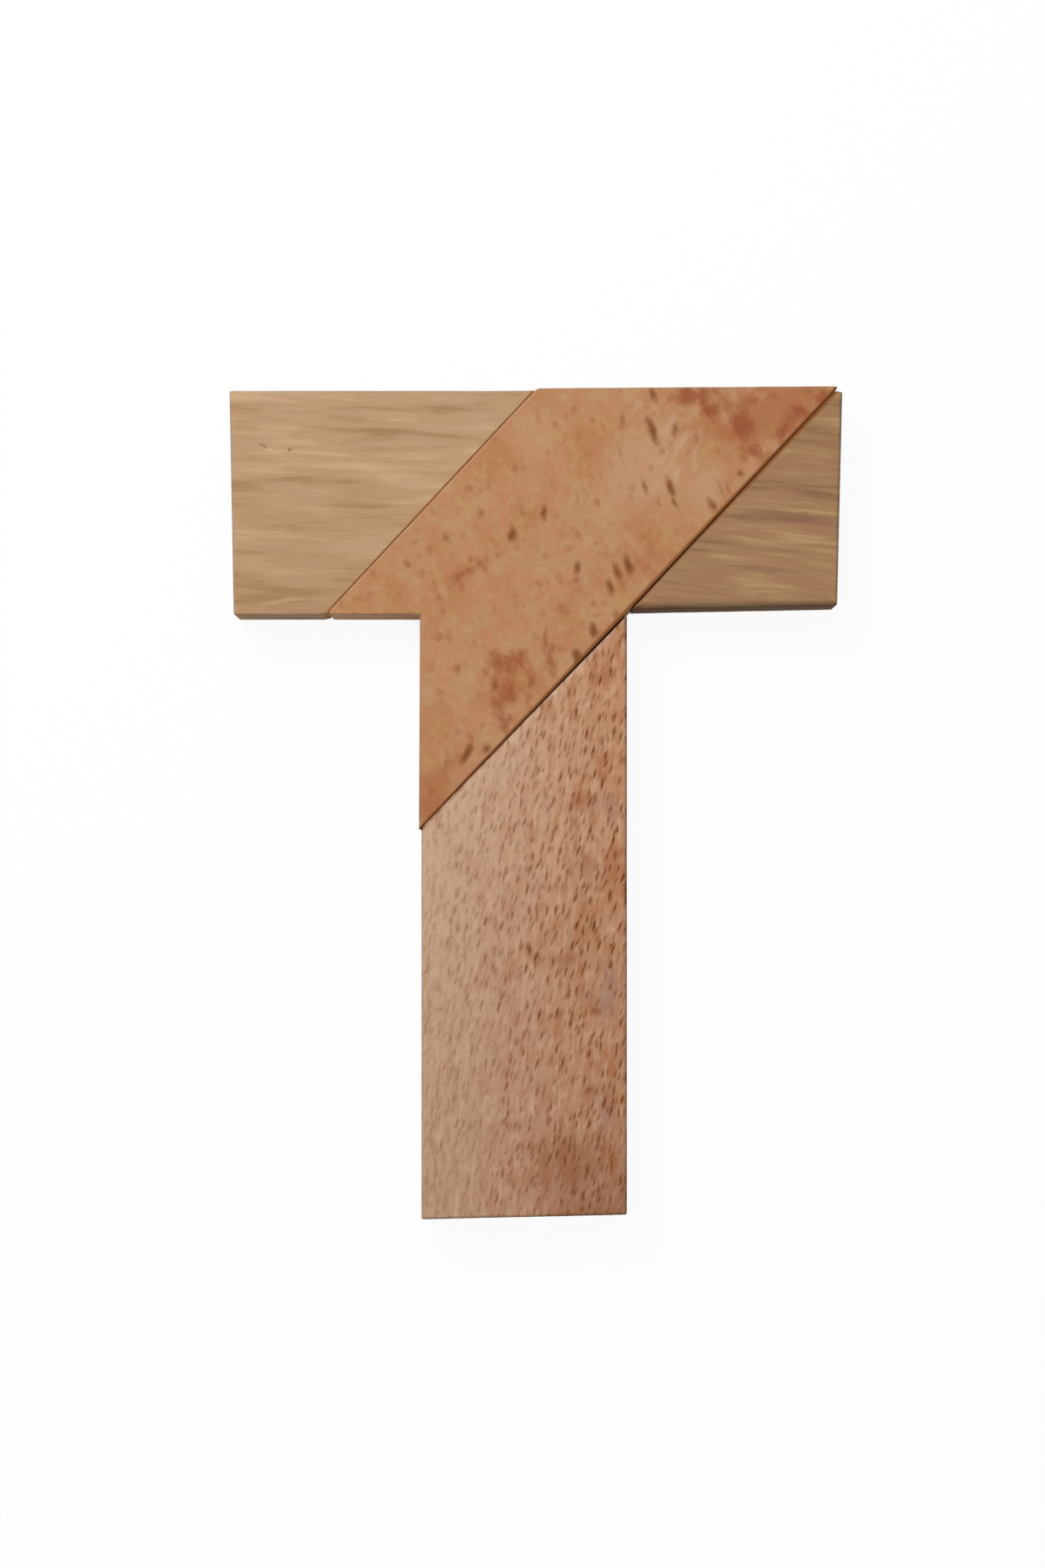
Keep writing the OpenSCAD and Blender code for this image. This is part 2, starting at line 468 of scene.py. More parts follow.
def worn_board(name, seed):
    """A board with sanded rims, built from its outline. Returns the mesh."""
    outline, points = smooth[name], faces[name]
    count, total = len(outline), len(points)
    z_top = thickness - face_fall(name, points, outline, seed)
    z_bottom = face_fall(name, points, outline, seed + 31)
    verts = [(x, y, z) for (x, y), z in zip(points, z_top)]
    verts += [(x, y, z) for (x, y), z in zip(points, z_bottom)]
    filling = triangles(points, count)
    polys = [tuple(f) for f in filling] + [tuple(v + total for v in reversed(f)) for f in filling]
    rings = [list(range(count))]
    for k in range(1, SIDE_RINGS):
        rings.append([len(verts) + i for i in range(count)])
        verts += side_ring(outline, z_top, z_bottom, k / SIDE_RINGS, seed)
    rings.append([total + i for i in range(count)])
    for upper, lower in zip(rings, rings[1:]):
        for i in range(count):
            j = (i + 1) % count
            polys.append((upper[i], lower[i], lower[j], upper[j]))
    mesh = bpy.data.meshes.new(name + "_board")
    mesh.from_pydata([tuple(float(c) * MM for c in v) for v in verts], [], polys)
    mesh.validate()
    mesh.update()
    mesh.shade_smooth()
    mesh.set_sharp_from_angle(angle=SHARP_EDGE)
    return mesh


boards = {}
SEEDS = {"left_arm": 1.5, "notched_pentagon": 12.5, "right_arm": 23.5, "stem": 34.5}
for name, seed in SEEDS.items():
    piece = bpy.data.objects.new(name + "_board", worn_board(name, seed))
    bpy.context.scene.collection.objects.link(piece)
    boards[name] = piece
    print(piece.name, len(piece.data.vertices), "vertices", len(piece.data.polygons), "faces")

# %% [markdown]
# All four finishes are wood that runs right through the piece, so they are made in the piece's
# own space and not painted on one face: a streak on the top comes out again on the end. A shader
# tree is built from a few kinds of step, and short helpers keep each recipe readable. Colours
# are written the way a paint chart gives them, from 0 to 255.

# %% Shader helpers
def tone(red, green, blue):
    """A colour from 0 to 255 a channel, as the linear colour that a shader takes."""
    share = [c / 255 for c in (red, green, blue)]
    return tuple(c / 12.92 if c <= 0.04045 else ((c + 0.055) / 1.055) ** 2.4 for c in share) + (1.0,)


def add(tree, kind, inputs, **settings):
    """Adds a shader node with its settings, and sets or links its inputs."""
    made = tree.nodes.new("ShaderNode" + kind)
    for setting, value in settings.items():
        setattr(made, setting, value)
    for key, value in inputs.items():
        if isinstance(value, bpy.types.NodeSocket):
            tree.links.new(value, made.inputs[key])
        else:
            made.inputs[key].default_value = value
    return made


def fresh_material(name):
    """An empty material, and the piece's own coordinates in mm."""
    material = bpy.data.materials.new(name)
    material.use_nodes = True
    tree = material.node_tree
    tree.nodes.clear()
    place = add(tree, "TexCoord", {}).outputs["Object"]
    grid = add(tree, "VectorMath", {0: place, "Scale": 1 / MM}, operation="SCALE").outputs[0]
    return material, tree, grid


def reckon(tree, operation, first, second):
    """One sum on two values."""
    return add(tree, "Math", {0: first, 1: second}, operation=operation).outputs[0]


def step_up(tree, value, low, high):
    """A soft step from 0 at low to 1 at high. With low above high it steps down."""
    inputs = {0: value, 1: low, 2: high, 3: 0.0, 4: 1.0}
    if low > high:
        inputs = {0: value, 1: high, 2: low, 3: 1.0, 4: 0.0}
    return add(tree, "MapRange", inputs, interpolation_type="SMOOTHSTEP").outputs[0]


def dye(tree, under, over, mask, strength=1.0):
    """One colour laid over another through a mask, at a strength."""
    if strength != 1.0:
        mask = reckon(tree, "MULTIPLY", mask, strength)
    return add(tree, "Mix", {0: mask, 6: under, 7: over}, data_type="RGBA").outputs[2]


print("a mid grey of 128 is", round(tone(128, 128, 128)[0], 3), "for a shader")

# %% [markdown]
# Grain is noise that is stretched along the wood, so every helper takes a size in mm for each
# direction, and an angle for the way the grain runs. Single marks are oval spots at a place.

# %% Grain helpers
SPOT_DEPTH = 8.0
NOISE_ROUGHNESS = 0.55


def local(tree, grid, size, place=(0, 0, 0), turn=0.0):
    """Coordinates round a place, turned by an angle in degrees and measured in a size in mm."""
    inputs = {"Vector": grid, "Location": place, "Rotation": (0, 0, math.radians(turn)), "Scale": size}
    return add(tree, "Mapping", inputs, vector_type="TEXTURE").outputs[0]


def cloud(tree, grid, size, detail=2.0, turn=0.0, place=(0, 0, 0)):
    """Noise from 0 to 1 with features of a size in mm."""
    inputs = {"Vector": local(tree, grid, size, place, turn), "Scale": 1.0, "Detail": detail,
              "Roughness": NOISE_ROUGHNESS}
    return add(tree, "TexNoise", inputs).outputs[0]


def sway(tree, grid, size, reach, place=(0, 0, 0)):
    """Coordinates that wander by up to a reach in mm, so that what is drawn on them looks grown."""
    inputs = {"Vector": local(tree, grid, size, place), "Scale": 1.0, "Detail": 2.0,
              "Roughness": NOISE_ROUGHNESS}
    drift = add(tree, "TexNoise", inputs).outputs[1]
    drift = add(tree, "VectorMath", {0: drift, 1: (0.5, 0.5, 0.5)}, operation="SUBTRACT").outputs[0]
    return add(tree, "VectorMath", {0: drift, 1: reach, 2: grid}, operation="MULTIPLY_ADD").outputs[0]


def spot(tree, grid, x, y, length, width, lean):
    """1 in the middle of an oval spot on the top face, falling to 0 at its rim."""
    inside_spot = local(tree, grid, (length / 2, width / 2, SPOT_DEPTH), (x, y, thickness), lean)
    return add(tree, "TexGradient", {"Vector": inside_spot}, gradient_type="SPHERICAL").outputs[1]


def rise(tree, grid, axis, low, high):
    """0 on one side of the wood and 1 on the other, along x or y, in mm."""
    return step_up(tree, add(tree, "SeparateXYZ", {0: grid}).outputs[axis], low, high)


def beside_cut(tree, grid, start, end, near, far):
    """1 close to a straight cut from start to end, falling to 0 further into the wood, in mm."""
    run = Vector(end) - Vector(start)
    turn = math.degrees(math.atan2(run.y, run.x))
    across = local(tree, grid, (1, 1, 1), (start[0], start[1], 0), turn)
    reach = reckon(tree, "ABSOLUTE", add(tree, "SeparateXYZ", {0: across}).outputs[1], 0.0)
    return step_up(tree, reach, far, near)


print("spots reach", SPOT_DEPTH, "mm into the wood")

# %% [markdown]
# Bare wood that was sanded and handled is dull, with a faint sheen. Its rims are greyer than its
# planed faces, and the rims that face up and to the left get painted shade, so that they don't
# catch the light. The sawn sides get a tint of painted shade for each wood, darker on some woods
# and lighter on others. Pores make a small relief.

# %% Bare wood surface
BUMP_STRENGTH, BUMP_DEPTH = 0.25, 0.06
DULLNESS, SHEEN = 0.75, 0.07
FACE_TINT, RIM_TINT = (1.015, 1.025, 1.04, 1), (0.96, 1.05, 1.18, 1)
RIM_SHADE_WAY, RIM_SHADE_TINT = (-0.45, 0.89, 0.0), (0.82, 0.84, 0.92, 1)
WHITE = (1, 1, 1, 1)


def finish_wood(tree, colour, relief, side_shade_tint):
    """Ends a wood recipe: painted shade on the sawn sides and on the rims that face up or left, a little
    relief and a dull sheen.
    """
    normal = add(tree, "NewGeometry", {}).outputs["Normal"]
    up = reckon(tree, "ABSOLUTE", add(tree, "SeparateXYZ", {0: normal}).outputs[2], 0.0)
    facing = add(tree, "VectorMath", {0: normal, 1: RIM_SHADE_WAY}, operation="DOT_PRODUCT").outputs["Value"]
    # The sawn sides take the wood's tint of painted shade.
    side = dye(tree, (*side_shade_tint, 1), WHITE, step_up(tree, up, 0.3, 0.8))
    rim = dye(tree, RIM_TINT, FACE_TINT, step_up(tree, up, 0.7, 0.98))
    # Painted shade on the rims that face up and to the left.
    painted_rim_shade = dye(tree, WHITE, RIM_SHADE_TINT, step_up(tree, facing, 0.02, 0.35))
    for tint in (side, rim, painted_rim_shade):
        inputs = {0: 1.0, 6: colour, 7: tint}
        colour = add(tree, "Mix", inputs, data_type="RGBA", blend_type="MULTIPLY").outputs[2]
    bump = add(tree, "Bump", {"Height": relief, "Strength": BUMP_STRENGTH, "Distance": BUMP_DEPTH * MM})
    skin = add(tree, "BsdfPrincipled", {"Base Color": colour, "Normal": bump.outputs[0]})
    skin.inputs["Roughness"].default_value = DULLNESS
    skin.inputs["Specular IOR Level"].default_value = SHEEN
    add(tree, "OutputMaterial", {"Surface": skin.outputs[0]})


print("roughness", DULLNESS, "and a relief of", BUMP_DEPTH, "mm")

# %% [markdown]
# The two arms are cut from streaky, straight-grained boards. A broad noise makes the soft bands
# of the growth years, a narrow one the streaks, and a very fine one the pores. The coordinates
# sway a little first, because no real streak runs dead straight.

# %% Streaky wood
def streaky_wood(name, tones, slope, seed, weights, spread, length):
    """Straight-grained wood along the bar. tones are dark, middle, light and rosy."""
    material, tree, grid = fresh_material(name)
    dark, middle, light, rosy = tones
    grown = sway(tree, grid, (length, 6, 9), (0, length / 12, 1.6), (seed, 0, 0))
    bands = cloud(tree, grown, (length * 2.4, 3.0, 6), 1.0, slope, (seed, 0, 0))
    streaks = cloud(tree, grown, (length, 1.1, 2.2), 2.0, slope, (0, seed, 0))
    pores = cloud(tree, grown, (length / 3, 0.45, 0.6), 1.0, slope, (0, 0, seed))
    grain = 0.0
    for layer, weight in zip((bands, streaks, pores), weights):
        grain = reckon(tree, "ADD", grain, reckon(tree, "MULTIPLY", layer, weight))
    colour = dye(tree, middle, dark, step_up(tree, grain, 0.5, 0.5 - spread))
    colour = dye(tree, colour, light, step_up(tree, grain, 0.5, 0.5 + spread))
    mottle = cloud(tree, grown, (13, 2.4, 4), 2.0, slope, (seed, seed, 0))
    colour = dye(tree, colour, rosy, step_up(tree, mottle, 0.44, 0.7), 0.6)
    return material, tree, grid, colour, grain


materials = {}
print("two boards of streaky wood follow")

# %% [markdown]
# The left arm is the palest: yellow tan, in calm bands, darker towards its lower side. It has a
# pair of small nicks near its left end, and a light streak runs on from them.

# %% Left arm
LEFT_CUT = [(-41.2, 36.5), (0.1, 80.7)]
LEFT_TONES = (tone(167, 132, 91), tone(190, 154, 115), tone(205, 173, 132), tone(195, 154, 126))
LEFT_NICKS = [(-53.0, 69.4, 2.6, 0.7, -28, 0.8), (-47.9, 68.6, 1.3, 0.8, 50, 1.0)]
LEFT_LIGHTS = [(-51.8, 68.6, 2.4, 1.0, -20, 0.9), (-42.0, 67.9, 18.0, 1.0, -3, 0.8),
               (-49.6, 39.2, 12.0, 1.2, 8, 0.6)]

material, tree, grid, colour, grain = streaky_wood(
    "left_arm_wood", LEFT_TONES, -1.5, 3.0, (0.5, 0.4, 0.1), 0.165, 10.0)
low = rise(tree, grid, 1, 80, 36)
colour = dye(tree, colour, tone(172, 132, 92), low, 0.32)
swayed = sway(tree, grid, (2, 1, 2), (1.0, 0.6, 0))
for x, y, length, width, lean, depth in LEFT_LIGHTS:
    mask = step_up(tree, spot(tree, swayed, x, y, length, width, lean), 0.0, 0.7)
    colour = dye(tree, colour, tone(216, 180, 144), mask, depth * 0.6)
for x, y, length, width, lean, depth in LEFT_NICKS:
    mask = step_up(tree, spot(tree, swayed, x, y, length, width, lean), 0.0, 0.6)
    colour = dye(tree, colour, tone(150, 108, 78), mask, depth * 0.7)
# Brown beside the joint with the notched piece: joint grime, and painted shade in the groove.
joint_grime_and_shade = beside_cut(tree, sway(tree, grid, (3, 3, 3), (0.3, 0.3, 0)), LEFT_CUT[0], LEFT_CUT[1], 0.08, 0.36)
colour = dye(tree, colour, tone(176, 116, 60), joint_grime_and_shade, 0.9)
finish_wood(tree, colour, grain, (1.02, 0.95, 0.98))
materials["left_arm"] = material
print("left arm recipe has", len(tree.nodes), "steps")

# %% [markdown]
# The right arm is browner and its streaks are stronger. They fall to the right. A purple-brown
# band crosses its middle. Its sawn sides get the darkest painted shade of all, and along its joint lies
# a broad brown band, painted shadow of the notched piece's edge together with joint grime.

# %% Right arm
RIGHT_TONES = (tone(143, 108, 76), tone(167, 128, 91), tone(187, 151, 108), tone(167, 119, 89))
RIGHT_BANDS = [(50.0, 55.6, 24.0, 3.2, -6, 0.8), (54.5, 60.2, 12.0, 1.8, -5, 0.5),
               (44.0, 45.5, 22.0, 2.0, -7, 0.6)]

LONG_CUT = [(-22.85, -5.48), (58.78, 80.92)]
material, tree, grid, colour, grain = streaky_wood(
    "right_arm_wood", RIGHT_TONES, -6.0, 9.0, (0.38, 0.5, 0.12), 0.17, 14.0)
swayed = sway(tree, grid, (5, 1.2, 2), (2.4, 1.4, 0))
for x, y, length, width, lean, depth in RIGHT_BANDS:
    mask = step_up(tree, spot(tree, swayed, x, y, length, width, lean), 0.0, 0.8)
    colour = dye(tree, colour, tone(120, 82, 70), mask, depth * 0.6)
# A broad brown band beside the long joint: painted shadow of the notched piece's edge, with joint grime.
joint_grime_and_shade = beside_cut(tree, sway(tree, grid, (3, 3, 3), (0.4, 0.4, 0)), LONG_CUT[0], LONG_CUT[1], 0.45, 1.05)
colour = dye(tree, colour, tone(138, 78, 34), joint_grime_and_shade, 0.9)
# The sawn sides get a dark tint of painted shade.
finish_wood(tree, colour, grain, (0.48, 0.43, 0.38))
materials["right_arm"] = material
print("right arm recipe has", len(tree.nodes), "steps")

# %% [markdown]
# The notched piece is a burr-like fruit wood: orange tan, mottled at every size, redder at its
# two outer tips and paler where it was brushed. Its flecks and stains stand where they stand on
# the real piece, so they are listed one by one, in mm from the inner corner of the letter.

# %% Flecks and stains
INNER_CORNER = (-22.6, 36.5)
FLECKS = [
    (11.9, 19.8, 2.4, 1.7, 90, 0.5), (17.9, 15.5, 2.2, 1.6, 80, 0.95), (24.2, 19.9, 3.0, 1.3, 88, 0.75),
    (19.6, 21.3, 3.2, 1.6, 95, 0.3), (5.2, 15.0, 2.2, 1.4, 125, 0.5), (-0.7, 14.0, 1.8, 1.4, 60, 0.35),
    (13.0, 10.5, 2.6, 2.2, 80, 0.35), (15.4, 11.5, 2.2, 1.6, 50, 0.35), (9.8, 10.8, 1.2, 1.1, 0, 0.5),
    (-2.2, 9.9, 1.8, 1.1, 100, 0.4), (30.7, 9.2, 2.4, 1.6, 80, 0.75), (30.6, 7.0, 1.5, 1.2, 80, 0.5),
    (38.4, 8.4, 3.6, 1.3, 112, 0.8), (40.6, 9.7, 3.6, 1.3, 108, 0.9), (37.1, 5.4, 2.8, 1.4, 100, 0.8),
    (33.8, -3.0, 2.8, 1.7, 95, 0.95), (30.6, -8.1, 3.2, 1.6, 100, 0.9), (38.2, 0.0, 2.0, 1.4, 90, 0.5),
    (43.8, 24.8, 3.2, 1.1, 112, 0.6), (48.8, 24.8, 3.8, 1.4, 110, 0.8), (49.6, 21.9, 2.4, 1.1, 120, 0.65),
    (45.3, 43.0, 3.2, 1.3, 108, 0.7), (39.5, 38.0, 3.2, 1.1, 88, 0.5), (45.2, 36.0, 5.2, 1.6, 112, 0.85),
    (49.7, 36.0, 3.4, 1.4, 88, 0.6), (39.0, 31.5, 6.5, 1.1, 108, 0.3), (57.0, 21.4, 3.2, 1.6, 118, 0.65),
    (58.7, 24.4, 4.4, 1.3, 118, 0.4), (62.5, 27.5, 1.5, 1.3, 0, 0.65), (7.3, -10.4, 2.0, 1.9, 60, 0.5),
    (14.6, -13.7, 2.6, 1.5, 70, 0.6), (21.7, -13.1, 2.2, 1.6, 70, 0.5), (24.4, -5.2, 4.6, 1.2, 85, 0.5),
    (13.0, -25.9, 2.2, 1.5, 65, 0.65), (9.1, -27.0, 4.2, 1.4, 62, 0.9), (5.2, -29.0, 3.2, 1.2, 75, 0.45),
    (12.3, -21.6, 1.6, 0.9, 70, 0.4), (18.0, -13.9, 3.2, 0.8, 88, 0.35), (34.3, 14.0, 1.0, 0.9, 0, 0.4),
    (37.2, 17.7, 1.0, 0.9, 0, 0.3), (30.7, 22.4, 3.0, 0.9, 90, 0.3), (32.7, 23.3, 1.6, 1.0, 90, 0.3),
    (23.0, 38.5, 4.4, 1.2, 92, 0.3), (25.6, 39.5, 4.0, 1.0, 95, 0.2), (60.0, 24.6, 3.4, 0.8, 116, 0.4),
]
STAINS = [
    (53.3, 42.6, 6.0, 3.6, 0, 0.9), (61.8, 38.2, 7.0, 3.2, 130, 0.9), (70.4, 35.8, 5.0, 2.8, 60, 0.75),
    (77.6, 41.8, 7.5, 2.8, 38, 0.75), (65.0, 31.2, 4.6, 3.0, 0, 0.7), (16.9, -9.4, 6.5, 3.2, 0, 0.8),
    (25.5, -9.3, 5.2, 2.6, 90, 0.7), (16.3, -19.6, 3.6, 5.0, 0, 0.75), (9.0, 8.4, 17.0, 2.6, 32, 0.42),
    (4.0, -4.0, 3.4, 1.8, 0, 0.45), (4.4, -16.2, 2.2, 4.0, 10, 0.5), (73.0, 39.0, 7.0, 2.6, 30, 0.75),
    (56.8, 39.8, 3.0, 4.0, 60, 0.6), (66.5, 42.0, 5.0, 2.0, 10, 0.45), (-9.0, 4.5, 6.0, 2.0, 25, 0.45),
    (17.5, -15.5, 7.0, 2.0, 90, 0.5), (21.0, -17.0, 4.0, 2.4, 60, 0.5), (46.5, 21.0, 4.0, 1.2, 100, 0.35),
]
print(len(FLECKS), "flecks and", len(STAINS), "stains")

# %% Gathering spots
def gather(tree, grid, spots, spread):
    """The strongest of many oval spots at every point. spread widens their soft rims."""
    total = 0.0
    for x, y, length, width, lean, depth in spots:
        x, y = x + INNER_CORNER[0], y + INNER_CORNER[1]
        mask = spot(tree, grid, x, y, length * spread, width * spread, lean)
        total = reckon(tree, "MAXIMUM", total, reckon(tree, "MULTIPLY", mask, depth))
    return total


def fray(tree, mask, noise_value, amount, low, high):
    """Breaks up a soft mask with noise, so that its rim is patchy."""
    noise_value = reckon(tree, "MULTIPLY", reckon(tree, "SUBTRACT", noise_value, 0.5), amount)
    present = step_up(tree, mask, 0.0, 0.12)
    broken = reckon(tree, "ADD", mask, reckon(tree, "MULTIPLY", noise_value, present))
    return step_up(tree, broken, low, high)


print("spots can be gathered")

# %% Mottled wood
PALE_AREAS = [(43, 29, 34, 20, 50, 1.0), (55, 24, 16, 12, 50, 0.8), (24, 36, 20, 14, 45, 0.6)]
BRUSHED_AREAS = [(50, 32, 26, 16, 60, 1.0), (42, 40, 14, 10, 60, 0.5)]
RED_AREAS = [(68, 39, 44, 20, 12, 1.0), (17, -14, 22, 16, 40, 0.7), (3, -36, 12, 22, 0, 1.0),
             (42, 10, 26, 18, 45, 0.45), (30, 4, 30, 22, 45, 0.35)]

material, tree, grid = fresh_material("pentagon_wood")
ragged = sway(tree, grid, (1.6, 1.8, 1.6), (1.1, 1.3, 0.0))
drifting = sway(tree, grid, (5, 5, 5), (3.0, 3.0, 0.0), (3, 3, 0))
base = cloud(tree, grid, (8, 9, 7), 2.0, 40, (5, 0, 0))
patch = cloud(tree, grid, (2.4, 3.2, 3.0), 3.0, 30, (0, 7, 0))
haze = cloud(tree, grid, (0.9, 1.5, 1.2), 2.0, -15, (0, 0, 4))
colour = dye(tree, tone(186, 131, 88), tone(192, 144, 103), step_up(tree, base, 0.32, 0.66))
colour = dye(tree, colour, tone(174, 110, 66), step_up(tree, patch, 0.55, 0.74), 0.42)
colour = dye(tree, colour, tone(200, 156, 116), step_up(tree, patch, 0.44, 0.28), 0.4)
colour = dye(tree, colour, tone(172, 112, 72), step_up(tree, haze, 0.54, 0.76), 0.35)
colour = dye(tree, colour, tone(204, 160, 120), step_up(tree, haze, 0.44, 0.26), 0.3)
blush = cloud(tree, drifting, (2.2, 2.8, 2.5), 2.0, 35, (0, 3, 9))
colour = dye(tree, colour, tone(196, 130, 96), step_up(tree, blush, 0.52, 0.68), 0.55)
colour = dye(tree, colour, tone(194, 152, 102), step_up(tree, blush, 0.46, 0.3), 0.55)
pale = step_up(tree, gather(tree, drifting, PALE_AREAS, 1.0), 0.0, 0.7)
colour = dye(tree, colour, tone(200, 156, 118), pale, 0.5)
brushed = cloud(tree, ragged, (4.6, 1.9, 2), 2.0, 62, (1, 1, 0))
brushed_area = step_up(tree, gather(tree, drifting, BRUSHED_AREAS, 1.0), 0.0, 0.7)
brushed = reckon(tree, "MULTIPLY", step_up(tree, brushed, 0.46, 0.7), brushed_area)
colour = dye(tree, colour, tone(212, 176, 142), brushed, 0.45)
red = fray(tree, gather(tree, drifting, RED_AREAS, 1.0), patch, 0.9, 0.1, 0.75)
colour = dye(tree, colour, tone(170, 100, 60), red, 0.62)
stain = fray(tree, gather(tree, ragged, STAINS, 2.0), patch, 1.5, 0.1, 0.8)
colour = dye(tree, colour, tone(154, 80, 50), stain, 0.78)
faint = add(tree, "TexVoronoi", {"Vector": local(tree, ragged, (2.4, 3.2, 2.8), turn=12), "Scale": 1.0})
chosen = add(tree, "SeparateXYZ", {0: faint.outputs["Color"]}).outputs[0]
faint = step_up(tree, faint.outputs["Distance"], 0.42, 0.1)
faint = reckon(tree, "MULTIPLY", faint, step_up(tree, chosen, 0.4, 0.8))
colour = dye(tree, colour, tone(160, 94, 56), faint, 0.42)
fleck = step_up(tree, gather(tree, ragged, FLECKS, 1.8), 0.05, 0.72)
colour = dye(tree, colour, tone(132, 78, 40), fleck, 0.92)
near_cut = sway(tree, grid, (3, 3, 3), (0.3, 0.3, 0), (9, 0, 0))
# A painted highlight on the rim along the left cut, where the light from the upper left falls.
painted_rim_highlight = beside_cut(tree, near_cut, LEFT_CUT[0], LEFT_CUT[1], 0.3, 0.8)
colour = dye(tree, colour, tone(218, 170, 134), painted_rim_highlight, 0.25)
# Brown beside both joints: joint grime, and painted shade in the grooves.
joint_grime_and_shade = beside_cut(tree, near_cut, LEFT_CUT[0], LEFT_CUT[1], 0.05, 0.3)
colour = dye(tree, colour, tone(176, 116, 60), joint_grime_and_shade, 0.6)
joint_grime_and_shade = beside_cut(tree, near_cut, LONG_CUT[0], LONG_CUT[1], 0.15, 0.6)
colour = dye(tree, colour, tone(140, 80, 34), joint_grime_and_shade, 0.85)
# The sawn sides get a tint that lightens their painted shade.
finish_wood(tree, colour, patch, (1.2, 1.4, 1.6))
materials["notched_pentagon"] = material
print("pentagon recipe has", len(tree.nodes), "steps")

# %% [markdown]
# The stem is beech. Its rays run straight through the board, so they show on the face as short
# dark dashes along the grain, thousands of them, and on the sides as little bands. They come
# from a flat cell pattern in x and y that is the same all the way down, and not from a list.

# %% Beech rays
def ray_dashes(tree, grid, size, lean, seed, slimness):
    """Short slim dashes along the grain, one in each cell of a stretched pattern."""
    cells = local(tree, grid, size, (seed, seed, 0), lean)
    cell = add(tree, "TexVoronoi", {"Vector": cells, "Scale": 1.0}, voronoi_dimensions="2D")
    away = add(tree, "VectorMath", {0: cells, 1: cell.outputs["Position"]}, operation="SUBTRACT").outputs[0]
    away = add(tree, "VectorMath", {0: away, 1: (slimness, 1.0, 0.0)}, operation="MULTIPLY").outputs[0]
    away = add(tree, "VectorMath", {0: away}, operation="LENGTH").outputs["Value"]
    chance = add(tree, "SeparateXYZ", {0: cell.outputs["Color"]}).outputs[0]
    return reckon(tree, "MULTIPLY", step_up(tree, away, 0.5, 0.08), step_up(tree, chance, 0.0, 0.9))


material, tree, grid = fresh_material("stem_wood")
swayed = sway(tree, grid, (1.8, 3.0, 2.5), (1.1, 1.0, 0), (3, 0, 0))
big = ray_dashes(tree, swayed, (1.6, 3.6, 1), -13, 3.0, 1.9)
small = ray_dashes(tree, swayed, (1.25, 2.7, 1), -19, 11.0, 1.7)
dashes = reckon(tree, "MAXIMUM", big, reckon(tree, "MULTIPLY", small, 0.75))
print("ray dashes take", len(tree.nodes), "steps")

# %% [markdown]
# The beech is pale and pink on the left, where a painted sheen lies on it, and redder to the right.
# It is darker towards the foot and darkest at its lower right, partly its own tone and partly painted
# light falling off. Between the dashes run light fibres, and here and there lies a rosy or a grey patch.

# %% Beech
STEM_LOW, STEM_HIGH = [Vector(c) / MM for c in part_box("stem")]
STEM_CUT = [(-22.3, -5.4), (17.7, 36.7)]
STEM_PATCHES = [(9.5, 0.0, 9.0, 6.0, 20, 0.8), (7.0, -30.0, 10.0, 5.0, 15, 0.9),
                (6.0, -70.0, 22.0, 16.0, 30, 1.0), (10.0, -12.0, 8.0, 5.0, 70, 0.7)]
STEM_GREYS = [(12.8, -37.0, 5.0, 17.0, -8, 1.0), (13.0, -1.0, 5.0, 12.0, 0, 0.7),
              (12.0, -60.0, 6.0, 14.0, -10, 0.7)]

drifting = sway(tree, grid, (9, 14, 9), (14, 8, 0), (2, 2, 0))
# 0 under a painted sheen on the left, 1 at the redder right.
sheen_to_red = rise(tree, drifting, 0, STEM_LOW.x - 3, STEM_HIGH.x + 3)
colour = dye(tree, tone(212, 177, 147), tone(198, 145, 109), sheen_to_red)
# Darker towards the foot: partly the beech's tone, partly painted light falling off.
depth = rise(tree, drifting, 1, STEM_HIGH.y, STEM_LOW.y)
colour = dye(tree, colour, tone(162, 112, 84), depth, 0.4)
fibres = cloud(tree, swayed, (0.7, 9, 3), 2.0, -4, (1, 0, 0))
weave = cloud(tree, swayed, (1.3, 3.0, 2.5), 2.0, -12, (6, 0, 0))
colour = dye(tree, colour, tone(220, 178, 144), step_up(tree, weave, 0.5, 0.7), 0.4)
colour = dye(tree, colour, tone(168, 112, 80), step_up(tree, weave, 0.48, 0.28), 0.35)
colour = dye(tree, colour, tone(220, 180, 144), step_up(tree, fibres, 0.52, 0.74), 0.4)
colour = dye(tree, colour, tone(170, 116, 84), step_up(tree, fibres, 0.46, 0.26), 0.4)
rosy = cloud(tree, swayed, (2.6, 6, 6), 3.0, -8, (0, 4, 0))
rosiness = reckon(tree, "MULTIPLY", step_up(tree, rosy, 0.46, 0.7), sheen_to_red)
colour = dye(tree, colour, tone(172, 106, 66), rosiness, 0.7)


def patches(tree, grid, spots):
    """Large soft patches of the stem, given in the model's own mm."""
    total = 0.0
    for x, y, length, width, lean, depth in spots:
        mask = reckon(tree, "MULTIPLY", spot(tree, grid, x, y, length, width, lean), depth)
        total = reckon(tree, "MAXIMUM", total, mask)
    return total


red = fray(tree, patches(tree, drifting, STEM_PATCHES), rosy, 0.8, 0.05, 0.8)
colour = dye(tree, colour, tone(158, 96, 62), red, 0.6)
grey = fray(tree, patches(tree, drifting, STEM_GREYS), rosy, 0.8, 0.05, 0.7)
colour = dye(tree, colour, tone(160, 126, 112), grey, 0.42)
# Darkest at the lower right corner: partly the beech's tone, partly painted shade.
shade = reckon(tree, "MULTIPLY", rise(tree, drifting, 1, -58, -82), rise(tree, drifting, 0, -8, 14))
colour = dye(tree, colour, tone(140, 92, 68), shade, 0.5)
